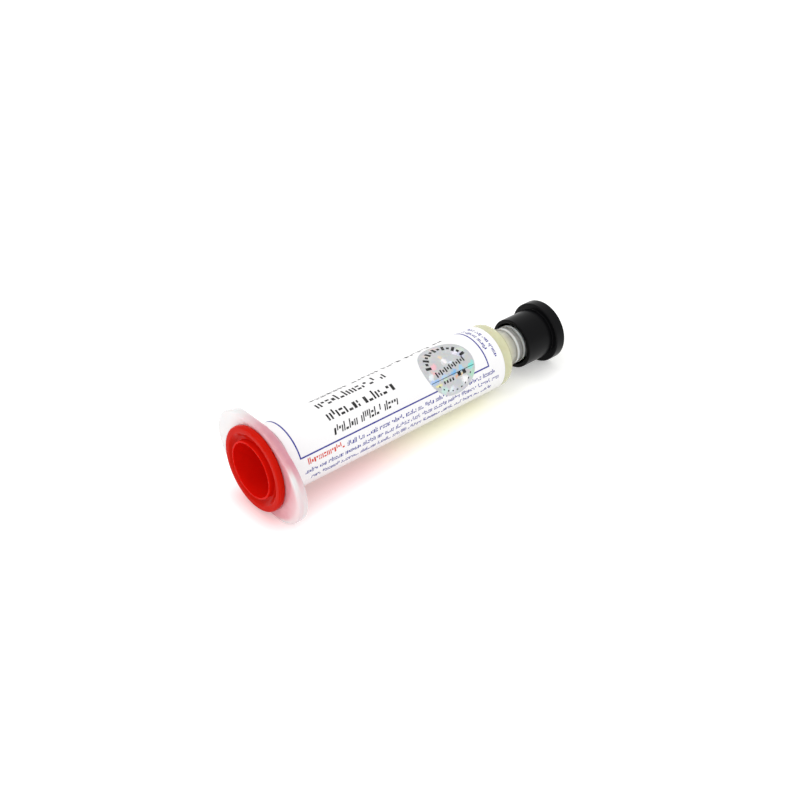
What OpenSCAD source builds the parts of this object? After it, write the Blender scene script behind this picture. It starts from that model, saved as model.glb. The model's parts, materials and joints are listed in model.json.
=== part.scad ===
// Syringe of flux paste with its end cap and tip cap on, lying on its side as it comes to rest.
// Lengths are in millimetres and angles in degrees. The syringe is drawn along X, from x = 0 at the
// open face of its finger flange towards the tip, and placed() then lays it on the floor.
// A clock angle is measured round the barrel from the top, towards the side that faces -Y.

/* [Barrel] */
// Outside diameter of the tube
barrel_od = 18.5; // [17.8:0.1:20]
// Diameter of the bore
barrel_bore = 15.9; // [15:0.1:16.4]
// Length of the tube, from the open face to the start of the shoulder
tube_len = 79.2; // [66:0.2:95]
// Radius of the rounded shoulder
shoulder_r = 2.4; // [1.6:0.1:3]
// Depth of the cone that ends the bore
funnel_h = 1.4; // [0.8:0.1:1.8]
// Radius of the fillet between the flange and the tube
root_fillet = 0.8; // [0.3:0.1:1]

/* [Finger flange] */
// Thickness of the flange
flange_t = 2.7; // [2.2:0.1:3.6]
// Length of the oval flange, from wing tip to wing tip
flange_long = 35.2; // [33:0.2:38]
// Width of the oval
flange_wide = 24.2; // [24:0.1:25]
// Height between the two level flats, one of which the syringe lies on
flange_flats = 24.4; // [23.8:0.1:24.6]
// Radius that rounds the flange's edges
flange_edge = 0.7; // [0.3:0.05:1]
// Slope of the wings while the syringe lies on a flat
flange_roll = 18; // [15:1:24]

/* [Hub and nozzle] */
// Diameter of the hub and of the collar that follows it
hub_od = 10.2; // [9.8:0.1:10.6]
// Length of the hub, from the shoulder's face to the floor of the collar
hub_len = 6.9; // [6.4:0.1:8]
// Height of the cone between the shoulder's face and the hub
hub_foot = 0.6; // [0.3:0.1:1]
// Height that each rib stands above the hub
rib_h = 0.4; // [0.2:0.05:0.6]
// Width of each rib
rib_w = 0.9; // [0.6:0.1:1.2]
// Distance from the shoulder's face to the middle of the first rib
rib_start = 5; // [4:0.1:5.8]
// Distance from the first rib to the second
rib_pitch = 2.3; // [1.6:0.1:2.6]
// Depth of the collar
collar_depth = 6.5; // [6:0.1:8]
// Bore of the collar
collar_bore = 8; // [7.8:0.1:8.4]
// Diameter of the nozzle at its tip
luer_tip_d = 3.95; // [3.9:0.01:4]
// Length of nozzle that stands out of the collar
luer_reach = 2.1; // [1.6:0.1:2.6]
// Diameter of the passage through the nozzle
passage_d = 2.2; // [1.6:0.1:2.6]

/* [End cap] */
// Diameter of the cap's ring
ring_od = 23.2; // [22.4:0.1:24]
// Thickness of the ring
ring_t = 1.8; // [1.6:0.1:2.6]
// Radius that rounds the ring's edges
ring_edge = 0.6; // [0.3:0.05:0.8]
// Length of the plug inside the bore
plug_len = 10.5; // [8:0.1:11]
// Thickness of the plug's wall at the mouth of the cup inside it
cup_wall = 0.5; // [0.4:0.05:0.8]
// Thickness of the plug's wall at the floor of the cup
cup_floor_wall = 1.3; // [0.8:0.1:1.6]
// Thickness of the cup's floor
cup_floor_t = 1.2; // [0.8:0.1:2]
// Height that the plug stands above the ring's face
lip_h = 0.4; // [0.2:0.05:0.6]
// Width of the groove between the plug and the ring, at the ring's face
groove_w = 2; // [1.4:0.1:2.2]
// Width of the groove at its floor
groove_floor_w = 0.7; // [0.4:0.1:1]
// Depth of the groove
groove_depth = 1.2; // [0.6:0.1:1.2]
// Gap between the plug and the bore
plug_gap = 0.05; // [0.02:0.01:0.1]

/* [Piston and paste] */
// Volume of paste, in cubic centimetres
fill_cc = 10; // [8:0.1:10.2]
// Length of the piston behind its nose
piston_len = 13; // [10:0.5:13.5]
// Width of each of the piston's two wiping bands
wiper_w = 1.8; // [1:0.1:2.5]
// Depth of the waist between the bands
waist_depth = 0.4; // [0.2:0.05:0.6]
// Diameter of the hollow in the back of the piston
hollow_d = 12; // [10:0.2:13]
// Thickness of the piston's front wall
piston_wall = 2; // [1.2:0.1:3]
// Gap between the piston's bands and the bore
wiper_gap = 0.03; // [0.01:0.01:0.06]
// Gap between the paste and what surrounds it
paste_gap = 0.03; // [0.01:0.01:0.06]

/* [Tip cap] */
// Outside diameter of the skirt
skirt_od = 14.6; // [13.6:0.1:15.2]
// Gap between the skirt and the ribs of the hub
skirt_gap = 0.65; // [0.4:0.05:0.8]
// Distance from the shoulder's face to the mouth of the skirt
skirt_start = 7.4; // [6.8:0.1:8]
// Diameter of the end knob
knob_od = 17.8; // [16:0.1:18.4]
// Length of the end knob
knob_len = 3.4; // [3:0.1:5]
// Radius that rounds the knob's edges
knob_edge = 0.4; // [0.2:0.05:0.6]
// Diameter of the recess in the end of the knob
recess_d = 12.8; // [10:0.2:14]
// Depth of the recess
recess_depth = 2; // [1:0.1:2.6]
// Thickness of the wall between the recess and the inside of the skirt
end_wall = 2.1; // [1.4:0.1:2.6]
// Gap between the collar's end and that wall
collar_gap = 2.9; // [2.7:0.1:3.4]
// Gap between the socket's outside and the collar
socket_gap = 0.2; // [0.1:0.05:0.4]
// Gap between the socket's taper and the nozzle
luer_gap = 0.05; // [0.02:0.01:0.08]
// Gap between the socket's mouth and the floor of the collar
socket_lift = 1.6; // [1:0.1:2.4]

/* [Label] */
// Thickness of the paper
paper_t = 0.1; // [0.06:0.01:0.2]
// Gap between the flange and the label
label_start_gap = 1.7; // [0.9:0.1:3]
// Gap between the label and the shoulder
label_end_gap = 2; // [0.6:0.1:4]
// Width of the bare strip between the label's two edges
window_w = 8.1; // [4:0.1:12]
// Clock angle of the middle of the bare strip
window_turn = 175; // [165:1:195]

/* [Print] */
// Thickness of the ink
ink_t = 0.04; // [0.03:0.01:0.06]
// Width of the ruled frame's line
rule_w = 0.42; // [0.3:0.02:0.7]
// Margin between the frame and the label's end at the flange
frame_near = 2.45; // [2:0.05:5]
// Margin between the frame and the label's end at the tip
frame_far = 5.6; // [5:0.1:8]
// Margin between the frame and the label's lower edge, along the curve
frame_low = 13.6; // [12.6:0.1:14]
// Margin between the frame and the label's upper edge, along the curve
frame_high = 2.5; // [1.5:0.1:6]
// Height of the large dark rows
row_h = 2.3; // [1.8:0.1:2.5]
// Height of the small rows
fine_h = 1.15; // [0.8:0.05:1.3]
// Distance between the small rows
fine_pitch = 2.25; // [1.8:0.05:2.4]

/* [Seal sticker] */
// Diameter of the round sticker
seal_d = 16.8; // [14:0.2:19]
// Thickness of the sticker
seal_t = 0.08; // [0.06:0.01:0.12]
// Distance from the label's end at the tip to the sticker's centre
seal_inset = 18.1; // [14:0.1:24]
// Clock angle of the sticker's centre
seal_turn = 34.5; // [25:0.5:45]

/* [Hidden] */
$fn = 96;

// Cutters run past the faces they open by this much
cut = 1;
// A luer taper narrows by 6 per cent of its length on the diameter
luer_slope = 0.03;

barrel_r = barrel_od / 2;
bore_r = barrel_bore / 2;
plug_r = bore_r - plug_gap;
passage_r = passage_d / 2;
shoulder_x = tube_len + shoulder_r;
hub_r = hub_od / 2;
rib_r = hub_r + rib_h;
collar_x = shoulder_x + hub_len;
collar_end = collar_x + collar_depth;
luer_end = collar_end + luer_reach;
luer_tip_r = luer_tip_d / 2;

// The piston's nose fits the cone of the bore, so the paste is as long as its volume over the bore's area
fill_len = fill_cc * 1000 / (PI * bore_r * bore_r);
nose_x = tube_len - fill_len;
piston_x = nose_x - piston_len;

skirt_x = shoulder_x + skirt_start;
skirt_r = skirt_od / 2;
skirt_inner_r = rib_r + skirt_gap;
wall_x = collar_end + collar_gap;
tip_x = wall_x + end_wall + recess_depth;
knob_x = tip_x - knob_len;

label_x = flange_t + label_start_gap;
label_len = tube_len - label_end_gap - label_x;
paper_r = barrel_r + paper_t;
ink_r = paper_r + ink_t;
// Degrees of turn for each millimetre along the curve of the paper
turn_per_mm = 180 / (PI * paper_r);
label_low = window_turn - window_w * turn_per_mm / 2;
label_span = 360 - window_w * turn_per_mm;
label_arc = label_span / turn_per_mm;
frame_x = label_x + frame_near;
frame_len = label_len - frame_near - frame_far;
frame_h = label_arc - frame_high - frame_low;
seal_x = label_x + label_len - seal_inset;
seal_r = seal_d / 2;

// Share of the root fillet's radius that is kept
root_stop = 0.8;
// Length over which the plug narrows at its end
plug_lead = 0.6;
wiper_r = bore_r - wiper_gap;
// Room between the nozzle's end and the bottom of the socket
socket_end_gap = 0.3;

// Words are this many times as long as they are high, in turn, with this much space between them
word_shape = [4.1, 2.2, 5.3, 1.6, 3.4, 6.2, 2.8];
word_space = 0.7;
// Dark rows: height above the frame's lower line, start and end along the frame
dark_rows = [
    [1.7, 11.3, 33], [5.6, 12.2, 35], [10.2, 12, 34.8], [15.3, 13.2, 58.2],
    [20.2, 8, 58], [25.5, 6, 44], [30, 6, 52]
];
// Distance from the frame's lower line down to the first small row
first_small_row = 2.4;
// Small rows: start along the frame, and the word that each opens with
small_rows = [[14.4, 0], [0.9, 2], [2.9, 4]];
// Margin between the small rows and the label's end
small_margin = 2.2;
// Start, length and height of the red heading, which opens the first small row
heading_start = 2.1;
heading_len = 11.1;
heading_h = 1.5;
// Where the rows across the tip end start and stop, and their gap from the frame
cross_start = 5;
cross_stop = 14;
cross_gap = 0.6;

// The syringe rests on the back edge of its flange and on the far edge of the knob, so it is tilted
// until both edges are level. Each edge is a small arc, whose centre is found first.
flange_foot_r = flange_flats / 2 - flange_edge;
flange_foot_x = flange_t - flange_edge;
knob_foot_r = knob_od / 2 - knob_edge;
knob_foot_x = tip_x - knob_edge;
foot_run = knob_foot_x - flange_foot_x;
foot_drop = flange_foot_r - knob_foot_r;
foot_reach = sqrt(foot_run * foot_run + foot_drop * foot_drop);
tilt = atan2(foot_drop, foot_run) + asin((flange_edge - knob_edge) / foot_reach);
lift = flange_edge + flange_foot_r * cos(tilt) + flange_foot_x * sin(tilt);
// The ends of the whole syringe along X, once it is tilted
low_x = -(ring_t + lip_h) * cos(tilt) - plug_r * sin(tilt);
high_x = tip_x * cos(tilt) + knob_foot_r * sin(tilt);

// Lays its children, drawn along X, on the floor with the whole syringe centred on the origin
module placed() {
    translate([-(low_x + high_x) / 2, 0, lift])
        rotate([0, tilt, 0])
            children();
}

// Turns a profile, with its radius along X and its length along Y, about the syringe's axis
module turned() {
    rotate([0, 90, 0])
        rotate_extrude()
            children();
}

// Part of a turn of a profile, which starts at one clock angle and runs on towards -Y and down
module part_turned(clock, span) {
    rotate([0, 90, 0])
        rotate([0, 0, 180 + clock])
            rotate_extrude(angle = span)
                children();
}

// A plain band of the profile, between two radii
module band(r_in, r_out, x, len) {
    translate([r_in, x])
        square([r_out - r_in, len]);
}

// A solid disc of the profile whose two outer corners are rounded
module soft_disc(r, x, len, edge) {
    band(0, r - edge, x, len);
    band(0, r, x + edge, len - 2 * edge);
    for (corner = [x + edge, x + len - edge])
        translate([r - edge, corner])
            circle(edge);
}

// A cone of the profile, from one radius to another
module taper(r_start, r_end, x, len) {
    polygon([[0, x], [r_start, x], [r_end, x + len], [0, x + len]]);
}

// The radius of the luer taper at a place along the nozzle
function luer_r(x) = luer_tip_r + (luer_end - x) * luer_slope;

// A long level bar with rounded edges, as high as the flange is between its flats
module flat_bar() {
    half = flange_flats / 2;
    translate([0, flange_long, 0])
        rotate([90, 0, 0])
            linear_extrude(2 * flange_long) {
                translate([flange_edge, -half])
                    square([flange_t - 2 * flange_edge, flange_flats]);
                translate([0, -half + flange_edge])
                    square([flange_t, flange_flats - 2 * flange_edge]);
                for (x = [flange_edge, flange_t - flange_edge])
                    for (side = [-1, 1])
                        translate([x, side * (half - flange_edge)])
                            circle(flange_edge);
            }
}

// The finger flange: an oval with sloping wings and a level flat above and below
module flange() {
    intersection() {
        rotate([flange_roll, 0, 0])
            scale([1, 1, flange_wide / flange_long])
                turned()
                    soft_disc(flange_long / 2, 0, flange_t, flange_edge);
        flat_bar();
    }
}

// Everything that the bore, the passage and the collar's hollow take away
module barrel_hollows() {
    turned() {
        band(0, bore_r, -cut, tube_len + cut);
        taper(bore_r, passage_r, tube_len, funnel_h);
        band(0, passage_r, tube_len, luer_end - tube_len + cut);
        difference() {
            band(0, collar_bore / 2, collar_x, collar_depth + cut);
            taper(luer_r(collar_x), luer_tip_r, collar_x, luer_end - collar_x);
        }
    }
}

module barrel() {
    root_x = flange_t / 2;
    color([0.95, 0.92, 0.84, 0.75])
        placed()
            difference() {
                union() {
                    flange();
                    turned() {
                        // The tube starts inside the flange's plate
                        band(0, barrel_r, root_x, tube_len - root_x);
                        band(0, barrel_r - shoulder_r, root_x, shoulder_x - root_x);
                        translate([barrel_r - shoulder_r, tube_len])
                            circle(shoulder_r);
                        // The fillet stops just short of the flange's face and leaves no feather edge
                        difference() {
                            band(0, barrel_r + root_stop * root_fillet, root_x, flange_t + root_fillet - root_x);
                            translate([barrel_r + root_fillet, flange_t + root_fillet])
                                circle(root_fillet);
                        }
                        taper(barrel_r - shoulder_r, hub_r, shoulder_x, hub_foot);
                        band(0, hub_r, shoulder_x, collar_end - shoulder_x);
                        for (rib = [0, 1])
                            band(0, rib_r, shoulder_x + rib_start + rib * rib_pitch - rib_w / 2, rib_w);
                        taper(luer_r(collar_x), luer_tip_r, collar_x, luer_end - collar_x);
                    }
                }
                barrel_hollows();
            }
}

module end_cap() {
    face_x = -ring_t;
    mouth_x = face_x - lip_h;
    groove_x = face_x + groove_depth;
    cup_r = plug_r - cup_wall;
    cup_floor_r = plug_r - cup_floor_wall;
    color("red")
        placed()
            turned()
                difference() {
                    union() {
                        soft_disc(ring_od / 2, face_x, ring_t, ring_edge);
                        band(0, plug_r, mouth_x, plug_len - plug_lead - mouth_x);
                        taper(plug_r, plug_r - plug_lead / 2, plug_len - plug_lead, plug_lead);
                    }
                    band(plug_r, plug_r + groove_w, face_x - cut, cut);
                    polygon([
                        [plug_r, face_x], [plug_r + groove_w, face_x],
                        [plug_r + groove_floor_w, groove_x], [plug_r, groove_x]
                    ]);
                    band(0, cup_r, mouth_x - cut, cut);
                    taper(cup_r, cup_floor_r, mouth_x, plug_len - cup_floor_t - mouth_x);
                }
}

module piston() {
    color("firebrick")
        placed()
            turned()
                difference() {
                    union() {
                        band(0, wiper_r - waist_depth, piston_x, piston_len);
                        band(0, wiper_r, piston_x, wiper_w);
                        band(0, wiper_r, nose_x - wiper_w, wiper_w);
                        taper(wiper_r, passage_r, nose_x, funnel_h);
                    }
                    band(0, hollow_d / 2, piston_x - cut, piston_len - piston_wall + cut);
                }
}

module flux_paste() {
    paste_r = bore_r - paste_gap;
    back_x = nose_x + paste_gap;
    front_x = tube_len - paste_gap;
    color("khaki")
        placed()
            turned()
                polygon([
                    [0, back_x + funnel_h], [passage_r, back_x + funnel_h], [paste_r, back_x],
                    [paste_r, front_x], [passage_r, front_x + funnel_h], [0, front_x + funnel_h]
                ]);
}

module tip_cap() {
    skirt_wall = skirt_r - skirt_inner_r;
    socket_x = collar_x + socket_lift;
    hole_end = luer_end + socket_end_gap;
    hole_r = luer_r(hole_end) + luer_gap;
    color([0.12, 0.12, 0.13])
        placed()
            turned() {
                // Skirt, with a rounded mouth
                band(skirt_inner_r, skirt_r, skirt_x + skirt_wall / 2, wall_x - skirt_x - skirt_wall / 2);
                translate([skirt_inner_r + skirt_wall / 2, skirt_x + skirt_wall / 2])
                    circle(skirt_wall / 2);
                // End wall and knob
                band(0, skirt_r, wall_x, end_wall);
                difference() {
                    soft_disc(knob_od / 2, knob_x, knob_len, knob_edge);
                    band(0, recess_d / 2, wall_x + end_wall, recess_depth + cut);
                    band(0, skirt_inner_r, knob_x - cut, wall_x - knob_x + cut);
                }
                // Socket that closes the nozzle
                difference() {
                    band(0, collar_bore / 2 - socket_gap, socket_x, wall_x - socket_x);
                    taper(luer_r(socket_x) + luer_gap, hole_r, socket_x, hole_end - socket_x);
                }
            }
}

module label() {
    color("white")
        placed()
            part_turned(label_low - label_span, label_span)
                band(barrel_r, paper_r, label_x, label_len);
}

// A block of ink, which starts at a distance up the curve from the label's lower edge. A cutter of the
// same shape runs past both faces of the ink.
module ink_block(x, len, up, height, past = 0) {
    part_turned(label_low - (up + height) * turn_per_mm, height * turn_per_mm)
        band(paper_r - past, ink_r + past, x, len);
}

// The ruled frame, whose lines run along the tube and round it
module ruled_frame() {
    difference() {
        ink_block(frame_x, frame_len, frame_low, frame_h);
        ink_block(frame_x + rule_w, frame_len - 2 * rule_w, frame_low + rule_w, frame_h - 2 * rule_w, cut);
    }
}

// Words of ink from one place to another. Along a row they run with X, across it they run up the curve.
module ink_words(from, to, side, height, along, count = 0) {
    len = height * word_shape[count % len(word_shape)];
    if (from + len <= to) {
        if (along)
            ink_block(from, len, side, height);
        else
            ink_block(side, height, from, len);
        ink_words(from + len + height * word_space, to, side, height, along, count + 1);
    }
}

// The round outline of the sticker, as the curved paper shows it from straight outside
seal_outline = [
    for (turn = [0 : 7.5 : 352.5])
        [seal_r * cos(turn), paper_r * sin(seal_r * sin(turn) * turn_per_mm)]
];

// A prism through the paper under the sticker
module seal_prism() {
    translate([seal_x, 0, 0])
        rotate([seal_turn, 0, 0])
            linear_extrude(barrel_od)
                polygon(seal_outline);
}

// Places ink on the syringe and leaves it out under the sticker
module printed() {
    placed()
        difference() {
            union()
                children();
            seal_prism();
        }
}

module print_blue() {
    small_up = frame_low - first_small_row;
    small_stop = label_x + label_len - small_margin;
    color("royalblue")
        printed() {
            ruled_frame();
            // Small rows below the frame
            for (row = [0 : len(small_rows) - 1])
                ink_words(frame_x + small_rows[row][0], small_stop, small_up - row * fine_pitch, fine_h,
                    true, small_rows[row][1]);
            // Small rows across the tip end
            for (row = [0, 1])
                ink_words(frame_low + cross_start - row * fine_pitch, label_arc - cross_stop,
                    frame_x + frame_len + cross_gap + row * fine_pitch, fine_h, false, row);
        }
}

module print_black() {
    last_stop = frame_len - 2 * rule_w;
    color([0.1, 0.1, 0.1])
        printed()
            for (row = dark_rows)
                ink_words(frame_x + row[1], frame_x + min(row[2], last_stop), frame_low + row[0], row_h,
                    true, round(row[0]));
}

module print_red() {
    color("red")
        printed()
            ink_block(frame_x + heading_start, heading_len, frame_low - first_small_row, heading_h);
}

module seal_sticker() {
    color("silver")
        placed()
            intersection() {
                turned()
                    band(paper_r, paper_r + seal_t, seal_x - seal_d, 2 * seal_d);
                seal_prism();
            }
}

barrel();
end_cap();
piston();
flux_paste();
tip_cap();
label();
print_blue();
print_black();
print_red();
seal_sticker();
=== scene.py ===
import json
import math
import random

import bmesh
import bpy
from mathutils import Matrix, Vector


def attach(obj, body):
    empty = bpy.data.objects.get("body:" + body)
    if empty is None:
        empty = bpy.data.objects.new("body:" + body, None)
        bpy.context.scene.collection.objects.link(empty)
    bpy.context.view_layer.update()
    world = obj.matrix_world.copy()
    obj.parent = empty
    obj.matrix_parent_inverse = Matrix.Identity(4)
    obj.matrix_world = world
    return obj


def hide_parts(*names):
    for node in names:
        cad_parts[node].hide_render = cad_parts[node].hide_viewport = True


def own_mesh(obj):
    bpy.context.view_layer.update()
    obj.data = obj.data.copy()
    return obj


# A syringe of flux paste lying on its side: a milky barrel with a paper label, print and a foil
# seal, a red end cap, a red piston, pale paste and a black tip cap.
# Pieces are drawn in millimetres along the syringe's own axis, with along = 0 at the open face of
# the finger flange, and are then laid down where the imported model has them.

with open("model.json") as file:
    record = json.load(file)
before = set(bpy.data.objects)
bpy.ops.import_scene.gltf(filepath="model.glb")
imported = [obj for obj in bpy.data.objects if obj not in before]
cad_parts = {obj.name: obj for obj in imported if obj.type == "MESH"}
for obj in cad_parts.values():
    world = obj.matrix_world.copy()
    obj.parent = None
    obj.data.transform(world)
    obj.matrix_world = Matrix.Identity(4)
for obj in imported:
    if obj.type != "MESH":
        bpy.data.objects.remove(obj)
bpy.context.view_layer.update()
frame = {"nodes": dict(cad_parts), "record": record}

MM = 0.001
mounts = {mount["name"]: mount for mount in frame["record"]["mounts"]}
label_pin = mounts["barrel_body"]
PAPER_R = label_pin["dims"]["r_mm"]
LABEL_LEN = label_pin["dims"]["length_mm"]
LABEL_START = 4.4
AXIS = Vector(label_pin["axis"])
LAY_TURN = Vector((1, 0, 0)).rotation_difference(AXIS)
OPEN_FACE = Vector(label_pin["pos_m"]) - AXIS * (LABEL_START + LABEL_LEN / 2) * MM
LAY = Matrix.Translation(OPEN_FACE) @ LAY_TURN.to_matrix().to_4x4() @ Matrix.Scale(MM, 4)

# The oval flange's length, width and roll in degrees, and its thickness
FLANGE_LONG, FLANGE_WIDE, FLANGE_ROLL = 35.2, 24.2, 18
FLANGE_T = 2.7
# Where the tube ends, where its shoulder ends, the middles of the hub's two ribs, the length of the
# cone that ends the bore, and the radius of the passage after it
TUBE_LEN = 79.2
SHOULDER = TUBE_LEN + 2.4
RIBS = (SHOULDER + 5.0, SHOULDER + 7.3)
FUNNEL = 1.4
PASSAGE_R = 1.1
# The end cap's radii at its plug, at the mouth of its cup and at the outside of its groove's floor
PLUG_R = 7.9
CUP_MOUTH_R = 7.4
GROOVE_R = 8.6
# Where the tip cap's skirt starts
SKIRT_MOUTH = 89.0
# The piston's radius and length, and where its nose starts to taper
PISTON_R = 7.92
PISTON_LEN = 13.0
NOSE = 28.84

# The label's lower edge, as degrees round the barrel from the top towards the camera, the label's
# width round the barrel, and its thickness
LABEL_LOW = 150.2
LABEL_ARC = 50.65
PAPER_T = 0.1

# How finely shapes are cut, in steps to a turn, steps to a rounded corner and millimetres
TURN_STEPS = 128
SEAL_STEPS = 96
CORNER_STEPS = 5
WRAP_STEP = 0.5
MERGE_WITHIN = 0.0005
ON_PLANE = 0.0001
# Edges that turn by more degrees than this stay sharp
SHARP_EDGE = 38


# Geometry

def full_turn(bm, axis, steps):
    """Spins all that a bmesh holds right round an axis through its origin."""
    bmesh.ops.spin(bm, geom=bm.verts[:] + bm.edges[:], cent=(0, 0, 0), axis=axis,
                   angle=2 * math.pi, steps=steps, use_merge=True)
    bmesh.ops.remove_doubles(bm, verts=bm.verts, dist=MERGE_WITHIN)


def lathe(profile):
    """Rounds the corners of a profile of (along, radius, rounding) and turns it about the axis."""
    bm = bmesh.new()
    corners = [bm.verts.new((along, 0, radius)) for along, radius, _ in profile]
    for first, second in zip(corners, corners[1:]):
        bm.edges.new((first, second))
    for corner, (_, _, rounding) in zip(corners, profile):
        if rounding:
            bmesh.ops.bevel(bm, geom=[corner], offset=rounding, offset_type="OFFSET",
                            segments=CORNER_STEPS, profile=0.5, affect="VERTICES", material=-1)
    full_turn(bm, (1, 0, 0), TURN_STEPS)
    return bm


def wrap(bm):
    """Bends what is drawn flat, as (along, up the label, height above it), round the paper."""
    low = min(v.co.y for v in bm.verts)
    high = max(v.co.y for v in bm.verts)
    for count in range(math.ceil(low / WRAP_STEP), math.ceil(high / WRAP_STEP)):
        bmesh.ops.bisect_plane(bm, geom=bm.verts[:] + bm.edges[:] + bm.faces[:], dist=ON_PLANE,
                               plane_co=(0, count * WRAP_STEP, 0), plane_no=(0, 1, 0))
    for v in bm.verts:
        along, up, height = v.co
        turn = math.radians(LABEL_LOW) - up / PAPER_R
        radius = PAPER_R + height
        v.co = (along, -radius * math.sin(turn), radius * math.cos(turn))


def make(bm, name, finish, body, node=None):
    """Lays a drawn piece down and makes it an object that rides on a body in a node's place."""
    bmesh.ops.recalc_face_normals(bm, faces=bm.faces)
    bmesh.ops.transform(bm, matrix=LAY, verts=bm.verts)
    for face in bm.faces:
        face.smooth = True
    for edge in bm.edges:
        closed = len(edge.link_faces) == 2
        edge.smooth = closed and edge.calc_face_angle() < math.radians(SHARP_EDGE)
    mesh = bpy.data.meshes.new(name)
    bm.to_mesh(mesh)
    bm.free()
    piece = bpy.data.objects.new(name, mesh)
    bpy.context.scene.collection.objects.link(piece)
    mesh.materials.append(finish)
    evened = piece.modifiers.new("even_shading", "WEIGHTED_NORMAL")
    evened.keep_sharp = True
    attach(piece, body)
    if node:
        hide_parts(node)
    return piece


# Materials

def colour(code):
    """An sRGB hex colour as linear light."""
    parts = [int(code[start:start + 2], 16) / 255 for start in (1, 3, 5)]
    return [p / 12.92 if p <= 0.04045 else ((p + 0.055) / 1.055) ** 2.4 for p in parts] + [1]


def add(tree, kind, settings=None, links=None):
    """Adds a node with its settings, on itself or its sockets, and links its inputs to outputs."""
    node = tree.nodes.new(kind)
    for name, value in (settings or {}).items():
        if isinstance(name, str) and hasattr(node, name):
            setattr(node, name, value)
        else:
            node.inputs[name].default_value = value
    for name, source in (links or {}).items():
        tree.links.new(source, node.inputs[name])
    return node


def material(name, sockets):
    """A new material of one Principled shader with these socket values."""
    made = bpy.data.materials.new(name)
    made.use_nodes = True
    tree = made.node_tree
    tree.nodes.clear()
    shader = add(tree, "ShaderNodeBsdfPrincipled", sockets)
    add(tree, "ShaderNodeOutputMaterial", {}, {"Surface": shader.outputs[0]})
    return made, tree, shader


def place(tree):
    """Object coordinates turned into millimetres along and across the syringe."""
    coords = add(tree, "ShaderNodeTexCoord")
    return add(tree, "ShaderNodeMapping", {
        "vector_type": "TEXTURE", "Location": OPEN_FACE, "Rotation": LAY_TURN.to_euler(),
        "Scale": (MM, MM, MM)}, {"Vector": coords.outputs["Object"]}).outputs[0]


def from_middle(tree, spot):
    """How far a place is from the line that Y and Z are measured from."""
    across = add(tree, "ShaderNodeVectorMath", {"operation": "MULTIPLY", 1: (0, 1, 1)}, {0: spot})
    return add(tree, "ShaderNodeVectorMath", {"operation": "LENGTH"},
               {0: across.outputs[0]}).outputs["Value"]


def grain(tree, shader, size_mm, height_mm, strength, detail=2):
    """Fine unevenness of that size and height, as a bump. Gives how high it is at a place."""
    noise = add(tree, "ShaderNodeTexNoise", {"Scale": 1 / size_mm, "Detail": detail},
                {"Vector": place(tree)}).outputs["Fac"]
    bump = add(tree, "ShaderNodeBump", {"Strength": strength, "Distance": height_mm * MM},
               {"Height": noise})
    tree.links.new(bump.outputs[0], shader.inputs["Normal"])
    return noise


# How one colour goes over into the next: evenly, or softly at both ends
EVEN, SOFT = "LINEAR", "SMOOTHSTEP"


def graded(tree, value, first, second, start=0, end=1, slope=EVEN, most=1):
    """Goes from the first colour to the second, each a hex code or an output, where a value goes
    from start to end, and takes at most that share of the second."""
    share = add(tree, "ShaderNodeMapRange", {
        "interpolation_type": slope, "From Min": start, "From Max": end, "To Max": most},
        {"Value": value})
    settings, links = {}, {"Fac": share.outputs[0]}
    for name, shade in (("Color1", first), ("Color2", second)):
        if isinstance(shade, str):
            settings[name] = colour(shade)
        else:
            links[name] = shade
    return add(tree, "ShaderNodeMixRGB", settings, links).outputs[0]


def red_polyethylene():
    """Red polyethylene, moulded: a soft gloss with a faint ripple, and a little light inside it.
    The thin cup is painted a lighter red and the thick ring a deeper one: painted light and painted
    shade."""
    made, tree, shader = material("red_polyethylene", {
        "Roughness": 0.14, "IOR": 1.51, "Specular IOR Level": 0.022, "Subsurface Weight": 0.1,
        "Subsurface Scale": 0.6 * MM, "Subsurface Radius": (1.0, 0.2, 0.1)})
    ripple = grain(tree, shader, 2.5, 0.02, 0.4)
    cup = graded(tree, ripple, "#E2160A", "#D80F07")
    ring = graded(tree, ripple, "#D01C0E", "#C3170A")
    # Painted light and painted shade: a lighter red in the cup, a deeper red on the ring
    radius = from_middle(tree, place(tree))
    tree.links.new(graded(tree, radius, cup, ring, CUP_MOUTH_R, GROOVE_R, SOFT),
                   shader.inputs["Base Color"])
    return made


def black_polypropylene():
    """Black polypropylene, moulded in a spark-eroded tool: satin, with a fine even grain, which is
    drawn coarser than the real one so that it shows."""
    made, tree, shader = material("black_polypropylene", {
        "Roughness": 0.28, "IOR": 1.49, "Specular IOR Level": 0.08})
    pits = grain(tree, shader, 0.25, 0.01, 0.25)
    tree.links.new(graded(tree, pits, "#080809", "#0E0E10"), shader.inputs["Base Color"])
    return made


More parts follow.
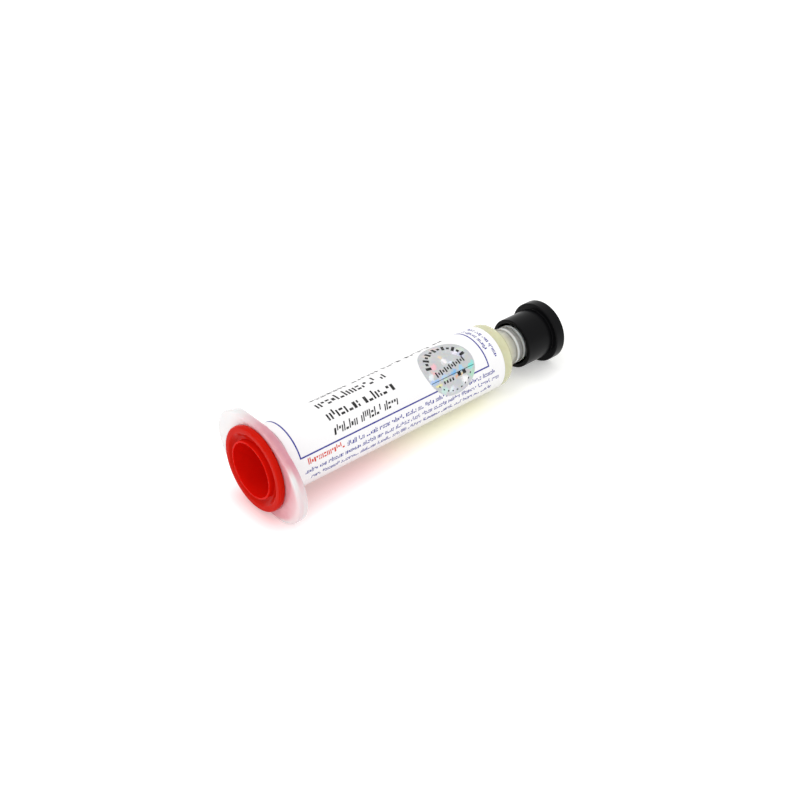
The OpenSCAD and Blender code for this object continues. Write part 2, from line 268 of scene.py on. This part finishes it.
def milky_polypropylene():
    """Natural polypropylene, moulded: milky, and it lets light through softly. Near the flange it
    takes the red of the cap that is pushed into it, at the shoulder the yellow of the paste, and
    it goes greyer where the wall of the hub stands round nothing. The far wing is painted near
    white as painted light, the near wing's rounded edge and the ribs carry painted highlights, and
    the hub's end carries painted shade from the tip cap."""
    made, tree, shader = material("milky_polypropylene", {
        "Roughness": 0.12, "IOR": 1.49, "Specular IOR Level": 0.4, "Transmission Weight": 0.2,
        "Subsurface Weight": 0.6, "Subsurface Scale": 2 * MM,
        "Subsurface Radius": (1.0, 0.85, 0.8)})
    spot = place(tree)
    along = add(tree, "ShaderNodeSeparateXYZ", {}, {"Vector": spot}).outputs["X"]
    streaks = add(tree, "ShaderNodeTexNoise", {"Scale": 1 / 2.2, "Detail": 3, "Distortion": 0.6},
                  {"Vector": spot}).outputs["Fac"]
    # The flange's oval as a circle of radius 1, with its wings along Y and the near one negative
    oval = add(tree, "ShaderNodeMapping", {
        "vector_type": "TEXTURE", "Rotation": (math.radians(FLANGE_ROLL), 0, 0),
        "Scale": (1, FLANGE_LONG / 2, FLANGE_WIDE / 2)}, {"Vector": spot}).outputs[0]
    wing = add(tree, "ShaderNodeSeparateXYZ", {}, {"Vector": oval}).outputs["Y"]
    either_wing = add(tree, "ShaderNodeMath", {"operation": "ABSOLUTE"}, {0: wing}).outputs[0]

    # The red shows beside the cap and in the rim. The rounded edge of the near wing is painted
    # white, a painted highlight where the edge gathers light, and both wings lose the red towards
    # their ends.
    near = add(tree, "ShaderNodeMapRange", {
        "interpolation_type": SOFT, "From Min": -0.5, "From Max": -0.72}, {"Value": wing})
    outer = add(tree, "ShaderNodeMapRange", {
        "interpolation_type": SOFT, "From Min": 0.87, "From Max": 0.98},
        {"Value": from_middle(tree, oval)})
    # Where the painted highlight lies: the rounded edge of the near wing
    edge = add(tree, "ShaderNodeMath", {"operation": "MULTIPLY"},
               {0: outer.outputs[0], 1: near.outputs[0]}).outputs[0]
    face = graded(tree, edge, graded(tree, streaks, "#E79CA8", "#F3BEC4"), "#FFFAF8")
    face = graded(tree, wing, face, "#FDE2E5", -0.7, -1.0, SOFT)
    band = graded(tree, streaks, "#DC93A3", "#EDB4BF")
    band = graded(tree, wing, band, "#FFEEEF", -0.5, -1.0, SOFT)
    rim = graded(tree, along, face, band, 0.6, 1.4, SOFT)
    # Painted light: the far wing, lit and seen against the light behind it, is painted near white
    flange = graded(tree, wing, rim, "#FFFEFD", 0.05, 0.78, SOFT)
    # Behind, both wings go white alike
    back = graded(tree, streaks, "#EBB0BC", "#F4CDD3")
    back = graded(tree, either_wing, back, "#FFF7F7", 0.3, 0.95, SOFT)
    flange = graded(tree, along, flange, back, FLANGE_T - 0.35, FLANGE_T - 0.05, SOFT)

    # After the flange come the tube over the paste, the foot of the hub, the hub, and its end in
    # painted shade from the tip cap, with a painted highlight as a pale line on each rib
    paste = graded(tree, streaks, "#E2E0B2", "#F1F0CF")
    foot = graded(tree, streaks, "#DAD8BC", "#FCFADC")
    hub = graded(tree, streaks, "#A2A19D", "#D8D7D3")
    shade = flange
    for start, end, following in (
            (FLANGE_T + 0.3, 12.0, paste), (SHOULDER, SHOULDER + 1.6, foot),
            (SHOULDER + 1.5, SHOULDER + 5.0, hub), (SKIRT_MOUTH - 3, SKIRT_MOUTH + 0.5, "#9A9996")):
        shade = graded(tree, along, shade, following, start, end, SOFT)
    # A painted highlight: a pale line along the top of each rib
    for rib in RIBS:
        off = add(tree, "ShaderNodeMath", {"operation": "SUBTRACT", 1: rib}, {0: along}).outputs[0]
        off = add(tree, "ShaderNodeMath", {"operation": "ABSOLUTE"}, {0: off}).outputs[0]
        shade = graded(tree, off, shade, "#F4F4F2", 0.5, 0.2, SOFT)
    tree.links.new(shade, shader.inputs["Base Color"])
    grain(tree, shader, 3.0, 0.03, 0.3)
    return made


def coated_paper():
    """Coated label paper: white, almost smooth, with a soft sheen. Its fibres are drawn coarser
    than the real ones so that they show."""
    made, tree, shader = material("coated_paper", {
        "Roughness": 0.45, "IOR": 1.45, "Specular IOR Level": 0.3})
    fibres = grain(tree, shader, 0.6, 0.004, 0.2, detail=4)
    tree.links.new(graded(tree, fibres, "#FFFEFE", "#FCFBFC"), shader.inputs["Base Color"])
    return made


def printing_ink(name, code):
    """Offset ink on coated paper: a thin even film, a little uneven in its density."""
    made, tree, shader = material(name, {
        "Roughness": 0.4, "IOR": 1.5, "Specular IOR Level": 0.3})
    film = add(tree, "ShaderNodeTexNoise", {"Scale": 1 / 0.5, "Detail": 3},
               {"Vector": place(tree)}).outputs["Fac"]
    tree.links.new(graded(tree, film, code, "#FFFFFF", 0.5, 0.9, most=0.2),
                   shader.inputs["Base Color"])
    return made


# Patches of colour that the foil breaks the light into, as the place from the seal's middle in
# millimetres, the half width, the half height, the colour and its strength
GLINTS = [
    (-6.4, -2.5, 1.7, 0.7, "#8FC4FF", 0.95), (-3.2, -2.4, 1.4, 0.5, "#A6D4FF", 0.8),
    (0.2, -2.3, 1.7, 0.6, "#62B4F2", 0.95), (3.4, -2.2, 1.2, 0.5, "#8CD0F8", 0.9),
    (6.7, -2.6, 1.5, 0.9, "#6FEBDC", 0.95), (-5.2, -3.8, 1.1, 0.6, "#F4F08C", 0.95),
    (-3.0, -3.6, 0.8, 0.5, "#B7E8C0", 0.7), (0.9, -3.9, 0.7, 0.5, "#F29A5C", 0.9),
    (2.6, -3.6, 0.6, 0.4, "#F4C890", 0.8), (-4.6, 1.3, 1.2, 0.8, "#FFB4C2", 0.85),
    (-5.4, -0.6, 1.1, 0.6, "#FFA9BC", 0.8), (-0.4, 1.6, 0.9, 1.1, "#FFFFFF", 1.0),
    (0.9, 0.6, 0.9, 0.6, "#E4F4FF", 0.95), (-0.7, 3.0, 0.7, 0.5, "#F6D9A4", 0.85),
    (4.6, 2.4, 1.0, 0.9, "#F2F4FF", 0.95), (5.8, 1.2, 0.9, 0.8, "#D3CBFF", 0.8),
    (-6.9, -0.9, 0.9, 1.1, "#F2FAFF", 0.9), (6.6, 2.9, 0.9, 1.1, "#D4EBD2", 0.6),
    (-4.4, -5.8, 1.4, 0.9, "#C4F0E8", 0.8), (-1.8, -6.4, 1.2, 0.8, "#E6F2FA", 0.9),
    (3.2, -5.4, 1.2, 1.4, "#FFFFFF", 1.0), (6.0, -4.8, 1.0, 1.1, "#A4E6BE", 0.8),
    (-3.2, 5.6, 1.3, 0.8, "#E4D3BE", 0.5), (0.6, 6.8, 1.4, 0.9, "#F0CBC4", 0.7),
]
# The embossed facets' size, drawn coarser than the real ones so that they show, and how far a
# ripple shifts them, in millimetres
FACET = 0.55
SHIFT = 1.2


def holographic_foil():
    """Embossed foil: silver that breaks light into soft patches of colour."""
    made, tree, shader = material("holographic_foil", {"Roughness": 0.32, "Metallic": 0.25})
    flat = add(tree, "ShaderNodeUVMap", {"uv_map": "flat"}).outputs[0]
    silver = add(tree, "ShaderNodeTexNoise", {"Scale": 1 / 3.0, "Detail": 2}, {"Vector": flat})
    shade = graded(tree, silver.outputs["Fac"], "#CDCFD0", "#B7BABC")
    ripple = add(tree, "ShaderNodeTexNoise", {"Scale": 1 / 1.6, "Detail": 3}, {"Vector": flat})
    shake = add(tree, "ShaderNodeVectorMath", {
        "operation": "MULTIPLY_ADD", 1: (2 * SHIFT, 2 * SHIFT, 0), 2: (-SHIFT, -SHIFT, 0)},
        {0: ripple.outputs["Color"]})
    bent = add(tree, "ShaderNodeVectorMath", {"operation": "ADD"}, {0: flat, 1: shake.outputs[0]})
    facets = add(tree, "ShaderNodeTexVoronoi", {"Scale": 1 / FACET}, {"Vector": bent.outputs[0]})
    for along, up, wide, high, code, strength in GLINTS:
        offset = add(tree, "ShaderNodeMapping", {
            "vector_type": "TEXTURE", "Location": (along, up, 0), "Scale": (wide, high, 1)},
            {"Vector": facets.outputs["Position"]})
        reach = add(tree, "ShaderNodeVectorMath", {"operation": "LENGTH"}, {0: offset.outputs[0]})
        shade = graded(tree, reach.outputs["Value"], shade, code, 1.3, 0.45, SOFT, strength)
    pastel = add(tree, "ShaderNodeMixRGB", {"Fac": 0.5, "Color2": colour("#FFFFFF")},
                 {"Color1": facets.outputs["Color"]}).outputs[0]
    glitter = add(tree, "ShaderNodeMixRGB", {"Fac": 0.15}, {"Color1": shade, "Color2": pastel})
    tree.links.new(glitter.outputs[0], shader.inputs["Base Color"])
    return made


def flux_gel():
    """Flux paste: a pale yellow gel, wet on the surface and cloudy inside."""
    made, tree, shader = material("flux_gel", {
        "Base Color": colour("#EDE7B0"), "Roughness": 0.25, "IOR": 1.48, "Subsurface Weight": 0.6,
        "Subsurface Scale": 2 * MM, "Subsurface Radius": (1.0, 0.9, 0.5)})
    grain(tree, shader, 4.0, 0.1, 0.4)
    return made


# Moulded pieces

def end_cap():
    """The push-in cap: a deep cup, a lip round its mouth, a groove with sloping walls, the ring."""
    lip, ring, groove = -2.2, -1.8, -0.6
    cup_floor, lead_in, end = 9.3, 9.9, 10.5
    cup_floor_r, lead_in_r, ring_face_r, ring_r = 6.6, 7.6, 9.9, 11.6
    return lathe([
        (cup_floor, 0, 0), (cup_floor, cup_floor_r, 0.6), (lip, CUP_MOUTH_R, 0.15),
        (lip, PLUG_R, 0.2), (groove, PLUG_R, 0.15), (groove, GROOVE_R, 0.35),
        (ring, ring_face_r, 0.25), (ring, ring_r, 0.6), (0, ring_r, 0.6), (0, PLUG_R, 0.1),
        (lead_in, PLUG_R, 0.1), (end, lead_in_r, 0.15), (end, 0, 0)])


def tip_cap():
    """The cap on the nozzle: a recess in its end, a wide knob, a skirt, and inside the skirt a
    socket whose hole tapers as the nozzle does."""
    socket_mouth, hole_floor, skirt_floor = 90.1, 97.4, 97.9
    knob, recess, end = 98.6, 100.0, 102.0
    knob_r, recess_r, skirt_r, skirt_inner_r = 8.9, 6.4, 7.3, 6.15
    socket_r, hole_mouth_r, hole_floor_r = 3.8, 2.23, 2.02
    return lathe([
        (recess, 0, 0), (recess, recess_r, 0.3), (end, recess_r, 0.3), (end, knob_r, 0.4),
        (knob, knob_r, 0.4), (knob, skirt_r, 0.15), (SKIRT_MOUTH, skirt_r, 0.3),
        (SKIRT_MOUTH, skirt_inner_r, 0.25), (skirt_floor, skirt_inner_r, 0.2),
        (skirt_floor, socket_r, 0.1), (socket_mouth, socket_r, 0.2),
        (socket_mouth, hole_mouth_r, 0.1), (hole_floor, hole_floor_r, 0), (hole_floor, 0, 0)])


def piston():
    """The piston: a hollow back, two wiping bands and a nose that fits the cone of the bore."""
    back, hollow = NOSE - PISTON_LEN, NOSE - 2
    waist_start, waist_end = back + 1.8, NOSE - 1.8
    hollow_r, waist_r = 6.0, 7.52
    return lathe([
        (hollow, 0, 0), (hollow, hollow_r, 0.5), (back, hollow_r, 0.3), (back, PISTON_R, 0.2),
        (waist_start, PISTON_R, 0.2), (waist_start, waist_r, 0.1), (waist_end, waist_r, 0.1),
        (waist_end, PISTON_R, 0.2), (NOSE, PISTON_R, 0.05), (NOSE + FUNNEL, PASSAGE_R, 0.2),
        (NOSE + FUNNEL, 0, 0)])


def flux_paste():
    """The paste fills the bore from the piston's nose to the cone, with a hair's gap at each."""
    gap = 0.03
    back, front = NOSE + gap, TUBE_LEN - gap
    return lathe([
        (back + FUNNEL, 0, 0), (back + FUNNEL, PASSAGE_R, 0), (back, PISTON_R, 0),
        (front, PISTON_R, 0), (front + FUNNEL, PASSAGE_R, 0), (front + FUNNEL, 0, 0)])


# The label and what is printed on it, drawn flat as (along, up the label, height above the paper)

# The ink's thickness, the width of the frame's lines, and where the frame stands
INK = 0.03
RULE = 0.38
FRAME_START, FRAME_END = 6.85, 71.6
FRAME_LOW, FRAME_HIGH = 13.6, 48.15


def slab(bm, low, high, placed=Matrix.Identity(4)):
    """A flat block between two corners, which a matrix then turns and places."""
    low, high = Vector(low), Vector(high)
    block = Matrix.Translation((low + high) / 2) @ Matrix.Diagonal((*(high - low), 1))
    bmesh.ops.create_cube(bm, size=1, matrix=placed @ block)


# Plain bars, dashes and dots that stand for print and spell nothing: the width of each in pen
# widths, and where its parts start and end, in shares of a small mark's height
MARKS = [
    (1.0, [(0, 1)]), (1.0, [(0, 1.4)]), (1.7, [(0, 1)]), (2.2, [(0, 0.32), (0.68, 1)]),
    (1.0, [(0, 0.4), (0.6, 1)]), (1.8, [(0.2, 0.8)]), (1.0, [(0.5, 1.4)]), (1.0, [(0, 0.5)]),
    (2.2, [(0, 0.34)]), (1.0, [(0, 1)]), (1.6, [(0.6, 1)]),
]
# The space after a mark in pen widths, and after a word in shares of a small mark's height
MARK_SPACE = 0.95
WORD_SPACE = 0.6


def marks(bm, draw, placed, height, pen, length, lean=0.0, words=(4, 11)):
    """A row of marks that runs along X from the placed origin, broken into words whose number of
    marks is drawn between the two given."""
    slanted = placed @ Matrix(((1, lean, 0, 0), (0, 1, 0, 0), (0, 0, 1, 0), (0, 0, 0, 1)))
    along, left = 0.0, draw.randint(*words)
    while along < length:
        width, parts = draw.choice(MARKS)
        for start, end in parts:
            slab(bm, (along, start * height, 0), (along + width * pen, end * height, INK), slanted)
        along += (width + MARK_SPACE) * pen
        left -= 1
        if left == 0:
            along, left = along + WORD_SPACE * height, draw.randint(*words)


def row(along, up):
    """A row that starts at this place on the label and runs along the syringe."""
    return Matrix.Translation((along, up, 0))


def turned(degrees):
    """A turn on the flat of the label."""
    return Matrix.Rotation(math.radians(degrees), 4, "Z")


def label():
    """The sheet of paper, bent round the barrel."""
    bm = bmesh.new()
    slab(bm, (LABEL_START, 0, -PAPER_T), (LABEL_START + LABEL_LEN, LABEL_ARC, 0))
    wrap(bm)
    return bm


def blue_print():
    """The ruled frame, three small rows under it, and two small rows that run up the label across
    the tip end, with the tops of their marks towards the flange."""
    bm = bmesh.new()
    for up in (FRAME_LOW, FRAME_HIGH - RULE):
        slab(bm, (FRAME_START, up, 0), (FRAME_END, up + RULE, INK))
    for along in (FRAME_START, FRAME_END - RULE):
        slab(bm, (along, FRAME_LOW + RULE, 0), (along + RULE, FRAME_HIGH - RULE, INK))
    draw = random.Random(4)
    for along, up, length in ((21.2, 11.2, 51.6), (7.7, 9.0, 67.0), (9.7, 6.6, 62.6)):
        marks(bm, draw, row(along, up), height=0.92, pen=0.22, length=length, lean=0.1)
    for along, up, length in ((73.4, 18.4, 10.2), (75.3, 15.4, 12.6)):
        marks(bm, draw, row(along, up) @ turned(90), height=0.8, pen=0.2, length=length)
    wrap(bm)
    return bm


def black_print():
    """The large dark rows: the lowest slanted and thin, the rest upright and bold."""
    bm = bmesh.new()
    draw = random.Random(7)
    marks(bm, draw, row(18.4, 15.35), height=1.6, pen=0.34, length=20.8, lean=0.35, words=(8, 11))
    for along, up, length, pen, words in (
            (19.0, 19.2, 22.2, 0.52, (9, 11)), (18.9, 23.8, 22.2, 0.52, (16, 18)),
            (20.0, 28.3, 45.0, 0.7, (4, 7)), (14.9, 33.8, 50.0, 0.52, (5, 12)),
            (12.9, 39.1, 38.0, 0.52, (5, 12)), (12.9, 43.6, 46.0, 0.52, (5, 12))):
        marks(bm, draw, row(along, up), height=1.95, pen=pen, length=length, words=words)
    wrap(bm)
    return bm


def red_print():
    """One short row, without spaces, that starts the small rows."""
    bm = bmesh.new()
    draw = random.Random(2)
    marks(bm, draw, row(8.9, 11.4), height=1.2, pen=0.28, length=10.8, words=(30, 30))
    wrap(bm)
    return bm


# The seal's middle on the label, its radius and thickness, and how many rings it is drawn in
SEAL_ALONG, SEAL_UP, SEAL_R, SEAL_T = 59.15, 18.9, 8.4, 0.08
SEAL_RINGS = 14


def seal():
    """The round seal, in rings fine enough to bend round the barrel, with its flat place kept as
    a map."""
    bm = bmesh.new()
    radii = [SEAL_R * count / SEAL_RINGS for count in range(SEAL_RINGS + 1)]
    points = [bm.verts.new((radius, 0, SEAL_T)) for radius in radii]
    points += [bm.verts.new((radius, 0, 0)) for radius in reversed(radii)]
    for first, second in zip(points, points[1:]):
        bm.edges.new((first, second))
    full_turn(bm, (0, 0, 1), SEAL_STEPS)
    flat = bm.loops.layers.uv.new("flat")
    for face in bm.faces:
        for loop in face.loops:
            loop[flat].uv = loop.vert.co.xy
    bmesh.ops.translate(bm, verts=bm.verts, vec=(SEAL_ALONG, SEAL_UP, 0))
    wrap(bm)
    return bm


def seal_print():
    """Plain ticks, bars and dots on the seal, placed from its middle."""
    bm = bmesh.new()
    middle = Matrix.Translation((SEAL_ALONG, SEAL_UP, SEAL_T))
    # Over the middle, an arc of long ticks with short ones between them
    arc_step, tick_half = 26, 0.4
    for first, radius, high in ((-78, 5.3, 1.7), (-65, 5.7, 0.8)):
        for turn in range(first, -first + 1, arc_step):
            placed = middle @ turned(turn) @ row(0, radius)
            slab(bm, (-tick_half, 0, 0), (tick_half, high, INK), placed)
    # Across the middle, a band of bars, long and short by turns, that rises a little
    band_rise, band_start, band_step, band_up = 6, -5.2, 0.85, -0.65
    for count in range(13):
        placed = middle @ turned(band_rise) @ row(band_start + band_step * count, band_up)
        half = (0.75, 0.35)[count % 2]
        slab(bm, (0, -half, 0), (0.45, half, INK), placed)
    # Under the band, a thin line, four small bars and two wide ones that hang from the line
    line_half, line_low, line_high = 7.6, -2.85, -2.7
    slab(bm, (-line_half, line_low, 0), (line_half, line_high, INK), middle)
    for left in (-3.8, -2.8, -1.8, -0.8):
        slab(bm, (left, -4.3, 0), (left + 0.5, -3.5, INK), middle)
    for left in (1.4, 3.2):
        slab(bm, (left, -3.9, 0), (left + 1.1, line_low, INK), middle)
    # Along the lower edge, an arc of dots
    dot_step, dot_wide, dot_high, dot_r = 13, 0.5, 0.35, 6.9
    for turn in range(-52, 53, dot_step):
        placed = middle @ turned(180 + turn) @ row(-dot_wide / 2, dot_r)
        slab(bm, (0, 0, 0), (dot_wide, dot_high, INK), placed)
    wrap(bm)
    return bm


# Pieces in their places

red = red_polyethylene()
black = black_polypropylene()
make(end_cap(), "end_cap_moulding", red, "end_cap", "end_cap")
make(tip_cap(), "tip_cap_moulding", black, "tip_cap", "tip_cap")
make(piston(), "piston_moulding", red, "piston", "piston")
gel = make(flux_paste(), "flux_gel_column", flux_gel(), "barrel", "flux_paste")
# So little is kept that the flattened paste stays clear of the cone of the piston's nose
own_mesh(gel)
make(label(), "label_wrap", coated_paper(), "barrel", "label")
blue_ink = printing_ink("blue_ink", "#2F2F96")
black_ink = printing_ink("black_ink", "#0C0C0C")
red_ink = printing_ink("red_ink", "#DC3C28")
make(blue_print(), "blue_printing", blue_ink, "barrel", "print_blue")
make(black_print(), "black_printing", black_ink, "barrel", "print_black")
make(red_print(), "red_printing", red_ink, "barrel", "print_red")
make(seal(), "foil_seal", holographic_foil(), "barrel", "seal_sticker")
make(seal_print(), "seal_printing", black_ink, "barrel")
barrel = frame["nodes"]["barrel"]
barrel.data.materials.clear()
barrel.data.materials.append(milky_polypropylene())


# Floor, light and camera

# The floor's half width in metres, how strongly it glows where it is seen itself, how strong the
# room's light on the object is, and the floor's own colour
FLOOR_HALF = 3
FLOOR_GLOW = 0.33
ROOM_LIGHT = 0.95
WHITE_SHEET = "#F8F8F8"


def shown_white(tree, plain, white):
    """A strength that is plain for the object's light and white where the floor or room is seen
    itself: by the camera, in a gloss or through a clear piece."""
    path = add(tree, "ShaderNodeLightPath")
    seen = path.outputs["Is Camera Ray"]
    for kind in ("Is Glossy Ray", "Is Transmission Ray"):
        seen = add(tree, "ShaderNodeMath", {"operation": "MAXIMUM"},
                   {0: seen, 1: path.outputs[kind]}).outputs[0]
    return add(tree, "ShaderNodeMapRange", {"To Min": plain, "To Max": white},
               {"Value": seen}).outputs[0]


floor_mesh = bmesh.new()
bmesh.ops.create_grid(floor_mesh, x_segments=1, y_segments=1, size=FLOOR_HALF)
floor_data = bpy.data.meshes.new("floor")
floor_mesh.to_mesh(floor_data)
floor_mesh.free()
floor = bpy.data.objects.new("floor", floor_data)
bpy.context.scene.collection.objects.link(floor)
sweep = bpy.data.materials.new("white_sweep")
sweep.use_nodes = True
tree = sweep.node_tree
tree.nodes.clear()
# Painted coloured shadow on the floor close to the syringe, for light that has passed the red
# cap and the yellow paste: red by the flange, then yellow, a faint grey painted shade by the tip
# cap, and none in front of the flange
spot = add(tree, "ShaderNodeSeparateXYZ", {}, {"Vector": place(tree)})
away = add(tree, "ShaderNodeMath", {"operation": "ABSOLUTE"}, {0: spot.outputs["Y"]}).outputs[0]
painted_shadow_tint = "#EBB4B6"
for start, end, code in ((24.0, 56.0, "#E8E4BD"), (68.0, 84.0, "#EFEFEC"),
                         (-1.0, -6.0, WHITE_SHEET)):
    painted_shadow_tint = graded(tree, spot.outputs["X"], painted_shadow_tint, code, start, end, SOFT)
painted_shadow_tint = graded(tree, away, painted_shadow_tint, WHITE_SHEET, 3.5, 16.0, SOFT)
sheet = add(tree, "ShaderNodeBsdfDiffuse", {}, {"Color": painted_shadow_tint})
glow = add(tree, "ShaderNodeEmission", {}, {"Strength": shown_white(tree, 0.0, FLOOR_GLOW)})
both = add(tree, "ShaderNodeAddShader", {}, {0: sheet.outputs[0], 1: glow.outputs[0]})
add(tree, "ShaderNodeOutputMaterial", {}, {"Surface": both.outputs[0]})
floor_data.materials.append(sweep)

world = bpy.data.worlds.new("studio")
bpy.context.scene.world = world
world.use_nodes = True
tree = world.node_tree
tree.nodes.clear()
room = add(tree, "ShaderNodeBackground", {"Color": colour("#FFFFFF")},
           {"Strength": shown_white(tree, ROOM_LIGHT, 1.0)})
add(tree, "ShaderNodeOutputWorld", {}, {"Surface": room.outputs[0]})


def softbox(name, power, size, position, target):
    """A rectangular lamp that faces a target."""
    lamp = bpy.data.lights.new(name, "AREA")
    lamp.shape = "RECTANGLE"
    lamp.size, lamp.size_y = size
    lamp.energy = power
    placed = bpy.data.objects.new(name, lamp)
    placed.location = position
    placed.rotation_mode = "QUATERNION"
    placed.rotation_quaternion = (Vector(target) - Vector(position)).to_track_quat("-Z", "Y")
    bpy.context.scene.collection.objects.link(placed)


softbox("overhead", power=0.5, size=(0.3, 0.3), position=(-0.1, 0.15, 0.7), target=(0, 0, 0))
softbox("flange_fill", power=0.42, size=(0.3, 0.2), position=(-0.6, -0.1, 0.2),
        target=(-0.04, 0, 0.01))

# The camera as fitted to the photograph: its place from the flange's open face, its heading and
# tilt against the syringe's own axis in radians, and its sensor and lens in millimetres
CAMERA_PLACE = (-133.598, -206.103, 183.474)
HEADING, TILT = 0.852, 0.592
SENSOR_WIDTH, LENS = 36, 55.353
NEAREST, FARTHEST = 0.01, 20
camera = bpy.data.objects.new("camera", bpy.data.cameras.new("camera"))
camera.data.sensor_width = SENSOR_WIDTH
camera.data.lens = LENS
camera.data.clip_start, camera.data.clip_end = NEAREST, FARTHEST
forward = Vector((math.cos(HEADING) * math.cos(TILT), math.sin(HEADING) * math.cos(TILT),
                  -math.sin(TILT)))
right = Vector((math.sin(HEADING), -math.cos(HEADING), 0))
aim = Matrix((right, right.cross(forward), -forward)).transposed()
camera.rotation_mode = "QUATERNION"
camera.rotation_quaternion = LAY_TURN @ aim.to_quaternion()
camera.location = LAY @ Vector(CAMERA_PLACE)
bpy.context.scene.collection.objects.link(camera)
bpy.context.scene.camera = camera
bpy.context.scene.view_settings.view_transform = "Standard"
